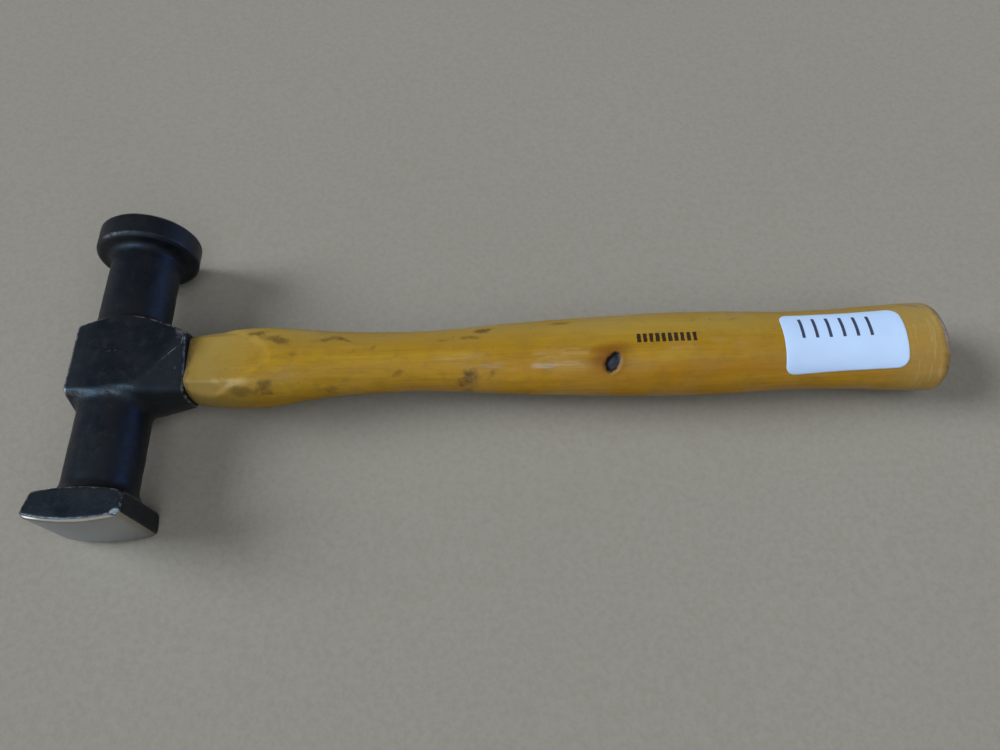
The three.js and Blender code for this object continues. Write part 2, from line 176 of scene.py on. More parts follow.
# Printed marks, plain bars where the wood and the paper carry print
STAMP = (199.6, 223.6, 0.3, 1.9, 2.4, 0.62)  # start x, end x, middle y, half height, pitch, bar's share
LABEL_PRINT = (262.0, 293.5, 2.6, 4.4, 5.25, 0.24)

# Scratches on the upper cheek: middle (x, y), half length, degrees from +X
CHEEK_SCRATCHES = (
    ((22.8, 0.4), 6.4, 48),
    ((25.4, 8.3), 2.4, 70),
    ((26.5, 6.0), 2.8, 86),
    ((24.4, 9.6), 1.6, 15),
    ((26.6, 8.4), 1.6, 55),
    ((24.6, -5.0), 0.9, 80),
)

# Spots on the edges of the steel that are rubbed bare: centre, half sizes, how bare
RUBBED_EDGES = (
    ((-9.5, -16.0, 13.4), (6.5, 1.8, 2.4), 0.4),
    ((4.5, -15.8, 13.8), (6.0, 2.0, 2.6), 0.3),
    ((25.5, 10.5, 13.5), (2.4, 5.0, 2.0), 0.6),
    ((-8.0, 52.4, 18.0), (9.0, 0.9, 4.0), 0.35),
)

# A strip along the near edge of the top flat that has lost its varnish: centre, half sizes, turn
BARE_CREASE = ((46, -11.2, 10), (9.5, 1.9, 8), math.radians(-3))

# Label
LABEL_START_X = 257
LABEL_END_X = 304
LABEL_NEAR_ANGLES = (math.radians(-60.5), math.radians(-50))  # at its start and at its end
LABEL_FAR_ANGLE = math.radians(36)
LABEL_CORNER = 4
LABEL_THICKNESS = 0.14
LABEL_LIFT = 0.05

# Wedges, as in the CAD model
TENON_END_X = -14.2
KERF_END_X = 14
KERF_HALF = 1.1
KERF_TIP_HALF = 0.35
STEEL_WEDGE_Y = 5
STEEL_WEDGE_DEPTH = 11
STEEL_WEDGE_HALF_WIDTH = 4
STEEL_WEDGE_HALF = 0.9
STEEL_WEDGE_TIP_HALF = 0.3

# Camera: where it stands, and how it is turned from looking level along +Y
CAMERA_PLACE = Vector((-7.72, -133.49, 264.69)) * MM
CAMERA_DOWN = math.radians(62.76)
CAMERA_YAW = math.radians(-1.788)
CAMERA_ROLL = math.radians(-0.484)
CAMERA_LENS = 25.44
SENSOR_WIDTH = 36

# Stage
FLOOR_HALF_SIZE = 30
FLOOR_CELLS = 8
HORIZON_STRENGTH = 0.40
SKY_STRENGTH = 0.14
ROOM_COLOUR = (0.84, 0.91, 1.0, 1)

# Colours of the steel
OXIDE_BLUE = (0.0018, 0.0026, 0.0052)
OXIDE_BROWN = (0.0048, 0.0046, 0.0050)
OXIDE_SCALE = (0.0110, 0.0108, 0.0104)
# painted reflection: a paler colour laid over the left end of the eye block
EYE_END_PAINTED_REFLECTION = (0.0140, 0.0160, 0.0200)
OXIDE_TINT = (0.78, 0.87, 1.0, 1)
BARE_STEEL = ((0.20, 0.20, 0.205), (0.36, 0.36, 0.37))
POLISHED_STEEL = ((0.39, 0.36, 0.315), (0.47, 0.44, 0.395))
WEDGE_STEEL = (0.30, 0.30, 0.31)
RUST = (0.16, 0.085, 0.045)

# Colours of the wood
HICKORY_BANDS = ((0.305, 0.174, 0.008), (0.370, 0.240, 0.017))
HICKORY_GRAIN = (0.265, 0.140, 0.007)
HICKORY_PORES = (0.14, 0.070, 0.006)
PALE_HEAD_END = (0.248, 0.184, 0.052)
# painted shade: multiplies the near side of the handle darker and more orange
NEAR_SIDE_PAINTED_SHADE = (1.0, 0.84, 0.72)
BARE_WOOD = (0.45, 0.35, 0.15)
FADED_BUTT = (0.325, 0.240, 0.090)
SCUFFS = (0.42, 0.33, 0.16)
END_GRAIN = ((0.24, 0.155, 0.05), (0.13, 0.08, 0.027))
TENON_END = (0.30, 0.20, 0.09)
MOTTLING = (0.215, 0.130, 0.017)
# painted sheen: a paler colour laid over the far side of the handle
FAR_SIDE_PAINTED_SHEEN = (0.300, 0.215, 0.055)
SPECKS = (0.10, 0.070, 0.030)
DIRT_AT_MOUTH = (0.11, 0.075, 0.035)
DIRT_IN_DENTS = (0.080, 0.050, 0.016)
KNOT_HALO = (0.16, 0.056, 0.004)
KNOT_PIT = (0.006, 0.005, 0.005)
# the knot's dark core, with a painted reflection in its cool grey
KNOT_CORE_WITH_PAINTED_SHEEN = (0.030, 0.035, 0.045)
STAMP_INK = (0.022, 0.014, 0.008)
WEDGE_WOOD = ((0.47, 0.32, 0.16), (0.28, 0.17, 0.075))

# Colours of the label and the floor
PAPER = ((0.44, 0.62, 0.92), (0.475, 0.66, 0.96))
PAPER_SMUDGES = (0.36, 0.44, 0.56)
LABEL_INK = (0.020, 0.022, 0.060)
FLOOR = ((0.252, 0.247, 0.220), (0.280, 0.275, 0.248))
FLOOR_FIBRES = (0.215, 0.208, 0.180)


# ---- Number helpers ----


def smooth_max(a, b, size):
    """The larger of two fields, with the crease between them rounded over this size."""
    share = np.clip(0.5 + 0.5 * (a - b) / size, 0, 1)
    return b * (1 - share) + a * share + size * share * (1 - share)


def smooth_min(a, b, size):
    return -smooth_max(-a, -b, size)


def smooth_step(value, low, high):
    share = np.clip((value - low) / (high - low), 0, 1)
    return share * share * (3 - 2 * share)


def curve_through(x, positions, values):
    """Values at x on a smooth curve through the stations."""
    slopes = np.gradient(values, positions)
    index = np.clip(np.searchsorted(positions, x) - 1, 0, len(positions) - 2)
    span = positions[index + 1] - positions[index]
    t = np.clip((x - positions[index]) / span, 0, 1)
    return (
        values[index] * (2 * t**3 - 3 * t**2 + 1)
        + slopes[index] * span * (t**3 - 2 * t**2 + t)
        + values[index + 1] * (3 * t**2 - 2 * t**3)
        + slopes[index + 1] * span * (t**3 - t**2)
    )


def soft_noise(x, y, z, cell, seed):
    """Smooth noise between -1 and 1 whose features are about one cell across."""
    lattice = np.random.default_rng(seed).uniform(-1, 1, (16, 16, 16))
    total = 0
    scaled = [np.asarray(axis) / cell + 100 for axis in (x, y, z)]
    whole = [np.floor(axis).astype(int) for axis in scaled]
    part = [smooth_step(axis - low, 0, 1) for axis, low in zip(scaled, whole)]
    for corner in np.ndindex(2, 2, 2):
        weight = 1
        for share, side in zip(part, corner):
            weight = weight * (share if side else 1 - share)
        spot = [(low + side) % 16 for low, side in zip(whole, corner)]
        total = total + weight * lattice[spot[0], spot[1], spot[2]]
    return total


def plane_through(u, v, start, end):
    """Distance to the left of a line in a section, zero on the line from start to end."""
    du = end[0] - start[0]
    dv = end[1] - start[1]
    return (-(v - start[1]) * du + (u - start[0]) * dv) / math.hypot(du, dv)


# ---- Head ----


def round_end(x, y, z):
    """The round end with its chamfered rim, on the upper neck."""
    radius = np.hypot(x, z)
    disc = smooth_max(radius - ROUND_RADIUS, y - ROUND_FACE_Y, 1.1)
    chamfer_start = (ROUND_RADIUS, ROUND_CHAMFER_START_Y)
    chamfer_end = (ROUND_RADIUS - ROUND_CHAMFER_INSET, ROUND_BACK_Y)
    disc = smooth_max(disc, -plane_through(radius, y, chamfer_start, chamfer_end), 0.5)
    disc = smooth_max(disc, ROUND_BACK_Y - y, 0.5)
    neck = np.maximum(radius - UPPER_NECK_RADIUS, np.maximum(y - NECK_REACH, -y))
    return smooth_min(disc, neck, UPPER_NECK_FILLET)


def square_end(x, y, z):
    """The square end. Sloping sides are divided by the length of their slope, here and in the block."""
    across = x * math.cos(SQUARE_TURN) - z * math.sin(SQUARE_TURN)
    up = x * math.sin(SQUARE_TURN) + z * math.cos(SQUARE_TURN)
    radius = np.hypot(x, z)
    behind = np.maximum(y - SQUARE_FRONT_Y, 0)
    left = -across - SQUARE_LEFT + SQUARE_LEFT_LEAN * behind
    sides = np.maximum(across - SQUARE_HALF, left)
    flats = smooth_max(sides, np.abs(up) - SQUARE_HALF, 0.35)
    turned = radius - FLANGE_RADIUS + FLANGE_TAPER * behind
    back = (y - FLANGE_BACK_Y + FLANGE_BACK_SLOPE * (radius - SQUARE_HALF)) / 1.05
    right_back = y - FLANGE_RIGHT_BACK_Y + FLANGE_RIGHT_BACK_SLOPE * (across - SQUARE_HALF)
    back = smooth_max(back, right_back / 1.12, 1.0)
    body = smooth_max(flats, smooth_max(turned, back, 1.4), 0.45)
    crown = np.hypot(across, y - SQUARE_POLE_Y - SQUARE_CROWN_RADIUS) - SQUARE_CROWN_RADIUS
    bevel = (flats + crown + SQUARE_BEVEL) / math.sqrt(2)
    face = smooth_max(crown, bevel, 0.25)
    along, out, over = DING_DIRECTION
    ding = along * (across - SQUARE_HALF) + out * (y - DING_CORNER_Y) + over * (up - SQUARE_HALF)
    ding = ding + DING_DEPTH
    return smooth_max(smooth_max(body, face, 0.25), ding, 0.2)


def eye_block(x, y, z):
    """The block round the eye, with facets at the near corners of the mouth."""
    cheeks = np.abs(z) - CHEEK_Z
    ends = smooth_max(EYE_END_X - x, x - MOUTH_X, 0.5)
    facet = cheeks + FACET_ALONG * (x - FACET_START[0]) - FACET_ACROSS * (y - FACET_START[1])
    bar = smooth_max(cheeks, facet / 1.1, 0.8)
    far = y - FAR_SHOULDER_Y
    far = far + FAR_SHOULDER_SLOPE * (np.hypot(x - SHOULDER_CENTRE_X, z) - CHEEK_Z)
    taper = NEAR_TAPER_SLOPE * np.maximum(x - NEAR_TAPER_START_X, 0)
    near = -y + NEAR_SIDE_Y + NEAR_SIDE_CURVE * z**2 + taper
    wear_x, wear_length = NEAR_EDGE_WEAR_X
    wear = NEAR_EDGE_WEAR * np.exp(-(((x - wear_x) / wear_length) ** 2))
    near = near + wear * smooth_step(z, 8, 14)
    body = smooth_max(bar, far / 1.14, 0.8)
    body = smooth_max(body, near / 1.06, 1.6)
    return smooth_max(body, ends, 0.9)


def eye_sizes(x, margin):
    """Half width and half height of the eye at x, grown by a margin."""
    middle = (EYE_END_X + MOUTH_X) / 2
    flare = EYE_FLARE * (np.abs(x - middle) / (MOUTH_X - middle)) ** 2
    return EYE_HALF_WIDTH + flare + margin, EYE_HALF_HEIGHT + flare + margin


def eye_hole(x, y, z):
    half_width, half_height = eye_sizes(x, 0)
    n = EYE_ROUNDNESS
    oval = np.abs((y - EYE_CENTRE_Y) / half_width) ** n + np.abs(z / half_height) ** n
    return (oval ** (1 / n) - 1) * half_height


def head_field(x, y, z):
    """Negative inside the steel and positive outside, in millimetres."""
    radius = np.hypot(x, z)
    lower_neck = np.maximum(radius - LOWER_NECK_RADIUS, np.maximum(y, -NECK_REACH - y))
    solid = smooth_min(square_end(x, y, z), lower_neck, LOWER_NECK_FILLET)
    solid = smooth_min(solid, eye_block(x, y, z), BLOCK_FILLET)
    solid = smooth_min(solid, round_end(x, y, z), 1.2)
    return smooth_max(solid, -eye_hole(x, y, z), EYE_RIM)


def forged_field(x, y, z):
    """The head with the unevenness of forging, except on the machined square face."""
    base = head_field(x, y, z)
    machined = smooth_step(-y, 59, 61)
    waves = 0.10 * soft_noise(x, y, z, 9, 1) + 0.05 * soft_noise(x, y, z, 3.5, 2)
    return base + waves * (1 - machined)


def slope_of(field, points, reach):
    """The field's gradient at each point, and how sharply the surface is bent there."""
    centre = field(*points.T)
    gradient = np.empty_like(points)
    bend = -6 * centre
    for axis in range(3):
        step = np.zeros(3)
        step[axis] = reach
        ahead = field(*(points + step).T)
        behind = field(*(points - step).T)
        gradient[:, axis] = (ahead - behind) / (2 * reach)
        bend = bend + ahead + behind
    return centre, gradient, bend / reach**2


def onto_surface(field, points, rounds):
    """Moves the points along the gradient to where the field is zero."""
    for _ in range(rounds):
        value, gradient, _ = slope_of(field, points, 0.05)
        length = np.maximum((gradient**2).sum(1), 0.05)
        points = points - np.clip(value / length, -0.4, 0.4)[:, None] * gradient
    return points


def crossed_cells(value):
    """The cells of a grid that the surface crosses, and each cell's number among them, or -1."""
    inside = value < 0
    size = np.array(value.shape) - 1
    count = np.zeros(size, int)
    for corner in np.ndindex(2, 2, 2):
        count += inside[tuple(slice(c, c + n) for c, n in zip(corner, size))]
    crossed = (count > 0) & (count < 8)
    cells = np.argwhere(crossed)
    index = np.full(size, -1)
    index[crossed] = np.arange(len(cells))
    return cells, index


def cell_points(value, cells):
    """The middle of the cuts that the surface makes in each cell's edges, counted in cells."""
    total = np.zeros((len(cells), 3))
    hits = np.zeros(len(cells))
    for axis in range(3):
        step = np.eye(3, dtype=int)[axis]
        for corner in np.ndindex(2, 2):
            start = np.insert(corner, axis, 0)
            a = value[tuple((cells + start).T)]
            b = value[tuple((cells + start + step).T)]
            cut = (a < 0) != (b < 0)
            share = np.where(cut, a / np.where(cut, a - b, 1), 0)
            total += np.where(cut[:, None], start + share[:, None] * step, 0)
            hits += cut
    return cells + total / hits[:, None]


def cell_quads(inside, index):
    """A quad across each grid edge that the surface cuts, turned to face out of the solid."""
    step = np.eye(3, dtype=int)
    quads = []
    for axis in range(3):
        u, v = [(axis + 1) % 3, (axis + 2) % 3]
        edges = np.argwhere(inside != np.roll(inside, -1, axis))
        kept = (edges[:, axis] < index.shape[axis]) & (edges[:, u] > 0) & (edges[:, v] > 0)
        edges = edges[kept]
        ring = [edges, edges - step[u], edges - step[u] - step[v], edges - step[v]]
        quad = np.stack([index[tuple(corner.T)] for corner in ring], 1)
        outward = inside[tuple(edges.T)]
        quads.append(np.where(outward[:, None], quad, quad[:, ::-1]))
    return np.concatenate(quads)


def surface_net(field, low, high, cell):
    """Points and quads on the zero surface of a field: one point in each cell that it crosses."""
    axes = [np.arange(a, b + cell, cell) for a, b in zip(low, high)]
    value = field(*np.meshgrid(*axes, indexing="ij"))
    cells, index = crossed_cells(value)
    points = np.array(low) + cell_points(value, cells) * cell
    return points, cell_quads(value < 0, index)


def even_out(points, quads, field, rounds):
    """Slides the points along the surface towards the middle of their neighbours."""
    edges = np.concatenate([quads[:, [side, (side + 1) % 4]] for side in range(4)])
    degree = np.bincount(edges.ravel(), minlength=len(points))
    for _ in range(rounds):
        total = np.zeros_like(points)
        for axis in range(3):
            total[:, axis] += np.bincount(edges[:, 0], points[edges[:, 1], axis], len(points))
            total[:, axis] += np.bincount(edges[:, 1], points[edges[:, 0], axis], len(points))
        points = points + 0.5 * (total / degree[:, None] - points)
        points = onto_surface(field, points, 1)
    return points


def hammer_head():
    points, quads = surface_net(head_field, HEAD_GRID_LOW, HEAD_GRID_HIGH, HEAD_CELL)
    points = onto_surface(forged_field, points, 3)
    points = even_out(points, quads, forged_field, 3)
    points = onto_surface(forged_field, points, 2)
    _, _, bend = slope_of(head_field, points, EDGE_REACH)
    piece = mesh_object("hammer_head_steel", points, quads)
    edge = piece.data.attributes.new("edge", "FLOAT", "POINT")
    edge.data.foreach_set("value", smooth_step(bend, 0.25, 1.1).astype(np.float32))
    return piece


# ---- Handle ----


def handle_middle(x):
    """Middle Y of the handle at x: the eye's middle in the head, and on the axis along the grip."""
    return EYE_CENTRE_Y * np.clip((75 - x) / 38, 0, 1)


def handle_sizes(x):
    """Half width, half thickness, roundness and middle Y of the grip at x."""
    positions, *columns = np.array(HANDLE_STATIONS).T
    sizes = [curve_through(x, positions, column) for column in columns]
    return (*sizes, handle_middle(x))


def oval_radius(angle, half_width, half_height, roundness):
    """Distance from the middle to an oval's edge, at an angle from the top towards +Y."""
    side = np.abs(np.sin(angle)) / half_width
    top = np.abs(np.cos(angle)) / half_height
    return (side**roundness + top**roundness) ** (-1 / roundness)


def ellipse_distance(x, y, spot):
    """How far a point is from a spot's middle, where 1 is the spot's edge."""
    centre_x, centre_y, half_length, half_width, turn = spot[:5]
    along = (x - centre_x) * math.cos(turn) + (y - centre_y) * math.sin(turn)
    across = -(x - centre_x) * math.sin(turn) + (y - centre_y) * math.cos(turn)
    return np.hypot(along / half_length, across / half_width)


def dent_depth(x, y, on_top):
    """How deep the knot's pit and the dents go at a point of the upper side."""
    depth = np.zeros_like(x)
    for dent in DENTS:
        depth = depth + dent[5] * np.exp(-(ellipse_distance(x, y, dent) ** 2) * 1.4)
    rough = 0.16 * soft_noise(x, y, 0 * x, 2.2, 7)
    pit = ellipse_distance(x, y, KNOT) + rough
    depth = depth + 1.2 * (1 - smooth_step(pit, 0.4, 1.05))
    depth = depth - 0.7 * np.exp(-((pit / 0.45) ** 2))
    rim = 0.12 * np.exp(-(((pit - 1.3) / 0.3) ** 2))
    return (depth - rim) * on_top


def handle_radius(x, angle):
    """Distance from the middle of the section to the wood's surface."""
    half_width, half_height, roundness, middle = handle_sizes(x)
    radius = oval_radius(angle, half_width, half_height, roundness)
    rise_start, rise_end, rise = FLATS_RUN_OUT
    sooner = RUN_OUT_CURVE * (radius * np.sin(angle)) ** 2
    run_out = rise * smooth_step(x + sooner, rise_start, rise_end)
    for direction, start, slope in PLANED_FLATS:
        facing = np.maximum(np.cos(angle - math.radians(direction)), 0.05)
        flat = (start + slope * (x - HANDLE_START_X) + run_out) / facing
        radius = smooth_min(radius, flat, 0.45)
    y = middle + radius * np.sin(angle)
    z = radius * np.cos(angle)
    uneven = 0.10 * soft_noise(x / 3.5, y, z, 6, 4) + 0.05 * soft_noise(x / 3, y, z, 2.4, 5)
    return radius + uneven - dent_depth(x, y, smooth_step(z, 0, 3))


def ring_points(x, radius, angle):
    """Points at these distances and angles from the handle's middle."""
    y = handle_middle(x) + radius * np.sin(angle)
    z = radius * np.cos(angle)
    return np.stack([np.broadcast_to(x, y.shape), y, z], -1)


def tenon_rings(angle):
    """Rings out from the middle of the tenon's end, and then along it to the mouth of the eye."""
    stops = [(TENON_END_X, share) for share in (0.25, 0.5, 0.75, 0.96)]
    stops += [(x, 1) for x in np.linspace(TENON_END_X + 0.3, HANDLE_START_X - 0.05, 16)]
    rings = []
    for x, share in stops:
        radius = oval_radius(angle, *eye_sizes(x, -TENON_CLEARANCE), EYE_ROUNDNESS)
        rings.append(ring_points(x, share * radius, angle))
    return rings


def grip_rings(angle, end_x):
    """Rings from the mouth of the eye to where the butt starts to round over."""
    rings = []
    steps = round((end_x - HANDLE_START_X) / HANDLE_RING_STEP)
    for x in np.linspace(HANDLE_START_X, end_x, steps):
        inset = MOUTH_INSET * (1 - smooth_step(x, HANDLE_START_X, HANDLE_START_X + 0.9))
        rings.append(ring_points(x, handle_radius(x, angle) - inset, angle))
    return rings


def butt_rings(angle, start_x):
    """Rings over the worn edge of the butt, and in to the middle of its sawn end."""
    rings = []
    butt = handle_radius(start_x, angle)
    for turn in np.radians(np.linspace(9, 90, 10)):
        along = start_x + BUTT_ROUNDING * math.sin(turn)
        radius = butt - BUTT_ROUNDING * (1 - math.cos(turn))
        wear = 0.12 * soft_noise(along, radius * np.sin(angle), radius * np.cos(angle), 2.2, 6)
        rings.append(ring_points(along - np.abs(wear), radius, angle))
    for share in np.linspace(0.93, 0.07, 14):
        radius = share * (butt - BUTT_ROUNDING)
        y = radius * np.sin(angle)
        z = radius * np.cos(angle)
        saw = 0.10 * soft_noise(0 * y, y, z, 2.5, 8) - 0.1
        rings.append(ring_points(BUTT_X + saw, radius, angle))
    return rings


def handle_wood():
    around = HANDLE_RING_POINTS
    angle = np.arange(around) / around * 2 * math.pi
    straight_end = BUTT_X - BUTT_ROUNDING
    rings = tenon_rings(angle) + grip_rings(angle, straight_end) + butt_rings(angle, straight_end)
    points = np.concatenate(rings)
    ends = [rings[0].mean(0), rings[-1].mean(0)]
    points = np.concatenate([points, ends])
    step = np.arange(around)
    after = (step + 1) % around
    faces = []
    for ring in range(len(rings) - 1):
        base = ring * around
        quad = [base + step, base + around + step, base + around + after, base + after]
        faces.extend(np.stack(quad, 1).tolist())
    last = (len(rings) - 1) * around
    start_middle = len(points) - 2
    end_middle = len(points) - 1
    for a, b in zip(step, after):
        faces.append([start_middle, a, b])
        faces.append([end_middle, last + b, last + a])
    piece = mesh_object("handle_wood", points, faces)
    cut_away(piece, kerf_block(0, 1.0, 40))
    for side in (-1, 1):
        cut_away(piece, steel_wedge_block(side, 0.04, 1.0))
    return piece


# ---- Wedges ----


def block_between(first, second):
    """Points and faces of a block between two outlines that run clockwise seen from the second."""
    count = len(first)
    faces = [list(range(count)), list(range(2 * count - 1, count - 1, -1))]
    for a in range(count):
        b = (a + 1) % count
        faces.append([b, a, a + count, b + count])
    return np.array(first + second), faces


def kerf_block(margin, overhang, half_width):
    """Points and faces of the kerf's long section pulled across the eye in Y."""
    start_x = TENON_END_X - overhang
    start = KERF_HALF - margin
    tip = KERF_TIP_HALF - margin
    section = [(start_x, -start), (KERF_END_X, -tip), (KERF_END_X, tip), (start_x, start)]
    ends = [[(x, EYE_CENTRE_Y + side * half_width, z) for x, z in section] for side in (-1, 1)]
    return block_between(*ends)


def steel_wedge_block(side, margin, overhang=0.0):
    """Points and faces of a steel wedge that crosses the wood wedge."""
    middle = EYE_CENTRE_Y + side * STEEL_WEDGE_Y
    start = STEEL_WEDGE_HALF + margin
    tip = STEEL_WEDGE_TIP_HALF + margin
    half = STEEL_WEDGE_HALF_WIDTH + margin
    start_x = TENON_END_X - overhang
    end_x = TENON_END_X + STEEL_WEDGE_DEPTH + margin
    section = [(start_x, -start), (end_x, -tip), (end_x, tip), (start_x, start)]
    ends = [[(x, middle + y, z) for x, y in section] for z in (half, -half)]
    return block_between(*ends)


def wood_wedge():
    piece = mesh_object("wood_wedge_piece", *kerf_block(0.05, 0.0, EYE_HALF_WIDTH - 0.5))
    modify(piece, "BEVEL", width=0.12 * MM, segments=2, limit_method="ANGLE")
    for side in (-1, 1):
        cut_away(piece, steel_wedge_block(side, 0.04, 1.0))
    return piece


def steel_wedge(number, side):
    """A steel wedge with rounded edges and the unevenness that hammering leaves."""
    piece = mesh_object(f"steel_wedge_{number}_piece", *steel_wedge_block(side, 0))
    modify(piece, "BEVEL", width=0.18 * MM, segments=3, limit_method="ANGLE")
    modify(piece, "SUBSURF", levels=3, render_levels=3, subdivision_type="SIMPLE")
    vertices = np.array([vertex.co for vertex in piece.data.vertices]) / MM
    struck = 1 - smooth_step(vertices[:, 0], TENON_END_X, TENON_END_X + 1.5)
    push = 0.08 * soft_noise(*vertices.T, 1.5, 20 + number) * (0.3 + struck)
    vertices[:, 0] += np.abs(push)
    piece.data.vertices.foreach_set("co", (vertices * MM).ravel())
    return piece


# ---- Label ----


def label_point(x, turn, lift):
    """A point on the wood's surface at a turn of its ellipse, lifted off along the radius."""
    half_width, half_height, _, _ = handle_sizes(x)
    angle = np.arctan2(half_width * np.sin(turn), half_height * np.cos(turn))
    return ring_points(x, handle_radius(x, angle) + lift, angle)


def paper_label():
    """A thin closed sheet: the outside and inside grids joined by a rounded edge."""
    columns, rows = 110, 64
    corner_turn = LABEL_CORNER / 15
    corner_steps = np.radians(np.linspace(0, 90, 9))
    corner_x = LABEL_CORNER * (1 - np.cos(corner_steps))
    corner_inset = corner_turn * (1 - np.sin(corner_steps))
    middle_x = np.linspace(LABEL_START_X + LABEL_CORNER, LABEL_END_X - LABEL_CORNER, columns)
    x = np.concatenate([LABEL_START_X + corner_x, middle_x[1:-1], LABEL_END_X - corner_x[::-1]])
    inset = np.concatenate([corner_inset, np.zeros(columns - 2), corner_inset[::-1]])
    share = np.linspace(-1, 1, rows)
    near_angle = np.interp(x, (LABEL_START_X, LABEL_END_X), LABEL_NEAR_ANGLES)
    middle = (near_angle + LABEL_FAR_ANGLE) / 2
    half = (LABEL_FAR_ANGLE - near_angle) / 2
    turn = middle[:, None] + share[None, :] * (half - inset)[:, None]
    along = np.broadcast_to(x[:, None], turn.shape)
    edge = np.minimum(along - LABEL_START_X, LABEL_END_X - along)
    edge = np.minimum(edge, (1 - np.abs(share))[None, :] * 14)
    thin = LABEL_THICKNESS * np.sqrt(np.clip(edge / 0.2, 0.1, 1))
    bubble = 0.05 * (1 + soft_noise(along, 15 * turn, 0 * turn, 5, 9)) * smooth_step(edge, 0, 2)
    inner = label_point(along, turn, LABEL_LIFT).reshape(-1, 3)
    outer = label_point(along, turn, LABEL_LIFT + thin + bubble).reshape(-1, 3)
    grid = np.arange(turn.size).reshape(turn.shape)
    a, b, c, d = grid[:-1, :-1], grid[1:, :-1], grid[1:, 1:], grid[:-1, 1:]
    top = np.stack([a, b, c, d], -1).reshape(-1, 4) + turn.size
    under = np.stack([d, c, b, a], -1).reshape(-1, 4)
    loop = np.concatenate([grid[:-1, 0], grid[-1, :-1], grid[:0:-1, -1], grid[0, :0:-1]])
    onward = np.roll(loop, -1)
    rim = np.stack([loop, onward, onward + turn.size, loop + turn.size], -1)
    return mesh_object("label_paper", np.concatenate([inner, outer]), np.concatenate([top, under, rim]))


# ---- Mesh helpers ----


def hammer_place():
    tilt = Matrix.Rotation(REST_PITCH, 4, "Y") @ Matrix.Rotation(REST_ROLL, 4, "X")
    return Matrix.Translation(HAMMER_ORIGIN) @ tilt


def mesh_object(name, points, faces):
    """A smooth-shaded object from points in millimetres in the hammer's frame."""
    mesh = bpy.data.meshes.new(name)
    mesh.from_pydata((np.asarray(points) * MM).tolist(), [], [list(map(int, face)) for face in faces])
    mesh.shade_smooth()
    mesh.validate()
    piece = bpy.data.objects.new(name, mesh)
    bpy.context.scene.collection.objects.link(piece)
    return piece


def modify(piece, kind, **settings):
    """Adds a modifier and applies it straight away."""
    modifier = piece.modifiers.new(kind.lower(), kind)
    for name, value in settings.items():
        setattr(modifier, name, value)
    bpy.context.view_layer.update()
    evaluated = piece.evaluated_get(bpy.context.evaluated_depsgraph_get())
    mesh = bpy.data.meshes.new_from_object(evaluated)
    piece.modifiers.clear()
    piece.data = mesh


def cut_away(piece, block):
    """Cuts a block, given as points and faces, out of a piece."""
    points, faces = block
    cutter = mesh_object("cutter", points, faces)
    modify(piece, "BOOLEAN", object=cutter, operation="DIFFERENCE", solver="EXACT")
    bpy.data.objects.remove(cutter)


# ---- Materials ----


class Shader:
    """A material under construction. Sockets are linked and plain values are set."""

    def __init__(self, name):
        self.material = bpy.data.materials.new(name)
        self.material.use_nodes = True
        self.tree = self.material.node_tree
        self.tree.nodes.clear()
        # places in the hammer's own frame, so that marks and grain lie along it
        inputs = {
            "Vector": self.add("TexCoord").outputs["Object"],
            "Location": HAMMER_ORIGIN,
            "Rotation": (REST_ROLL, REST_PITCH, 0),
        }
        self.place = self.add("Mapping", inputs, vector_type="TEXTURE").outputs[0]

    def add(self, kind, inputs=None, **settings):
        node = self.tree.nodes.new("ShaderNode" + kind)
        for name, value in settings.items():
            setattr(node, name, value)
        for name, value in (inputs or {}).items():
            if isinstance(value, bpy.types.NodeSocket):
                self.tree.links.new(value, node.inputs[name])
            else:
                node.inputs[name].default_value = value
        return node

    def math(self, operation, a, b=0.0):
        return self.add("Math", {0: a, 1: b}, operation=operation).outputs[0]

    def times(self, a, b):
        return self.math("MULTIPLY", a, b)

    def larger(self, a, b):
        return self.math("MAXIMUM", a, b)

    def between(self, value, low, high, start=0.0, end=1.0):
        """Rises smoothly from start to end as the value goes from low to high."""
        inputs = {"Value": value, "From Min": low, "From Max": high, "To Min": start, "To Max": end}
        return self.add("MapRange", inputs, interpolation_type="SMOOTHSTEP").outputs["Result"]

    def jitter(self, value, noise, amount):
        """A value moved by a noise, by up to an amount either way."""
        return self.math("ADD", value, self.between(noise, 0.3, 0.7, -amount, amount))

    def mix(self, share, a, b, blend="MIX"):
        a, b = [(*value, 1) if isinstance(value, tuple) else value for value in (a, b)]
        inputs = {0: share, 6: a, 7: b}
        return self.add("Mix", inputs, data_type="RGBA", blend_type=blend).outputs[2]

    def noise(self, scale, detail=3.0, stretch=None, distortion=0.0, roughness=0.5):
        vector = self.place
        if stretch:
            vector = self.add("Mapping", {"Vector": vector, "Scale": stretch}).outputs[0]
        inputs = {"Vector": vector, "Scale": scale, "Detail": detail, "Roughness": roughness}
        return self.add("TexNoise", {**inputs, "Distortion": distortion}).outputs[0]

    def attribute(self, name):
        return self.add("Attribute", attribute_name=name).outputs["Fac"]

    def spot(self, centre, half_sizes, turn=0.0):
        """Distance from a centre in the hammer's frame, where 1 is the spot's edge. Millimetres."""
        inputs = {
            "Vector": self.place,
            "Location": [value * MM for value in centre],
            "Rotation": (0, 0, turn),
            "Scale": [value * MM for value in half_sizes],
        }
        local = self.add("Mapping", inputs, vector_type="TEXTURE").outputs[0]
        return self.add("VectorMath", {0: local}, operation="LENGTH").outputs["Value"]

    def axis(self, name):
        return self.add("SeparateXYZ", {0: self.place}).outputs[name]

    def bump(self, height, distance, strength=1.0, below=None):
        inputs = {"Height": height, "Distance": distance, "Strength": strength}
        if below is not None:
            inputs["Normal"] = below
        return self.add("Bump", inputs).outputs[0]

    def finish(self, **inputs):
        named = {name.replace("_", " "): value for name, value in inputs.items()}
        surface = self.add("BsdfPrincipled", named)
        self.add("OutputMaterial", {"Surface": surface.outputs[0]})
        return self.material


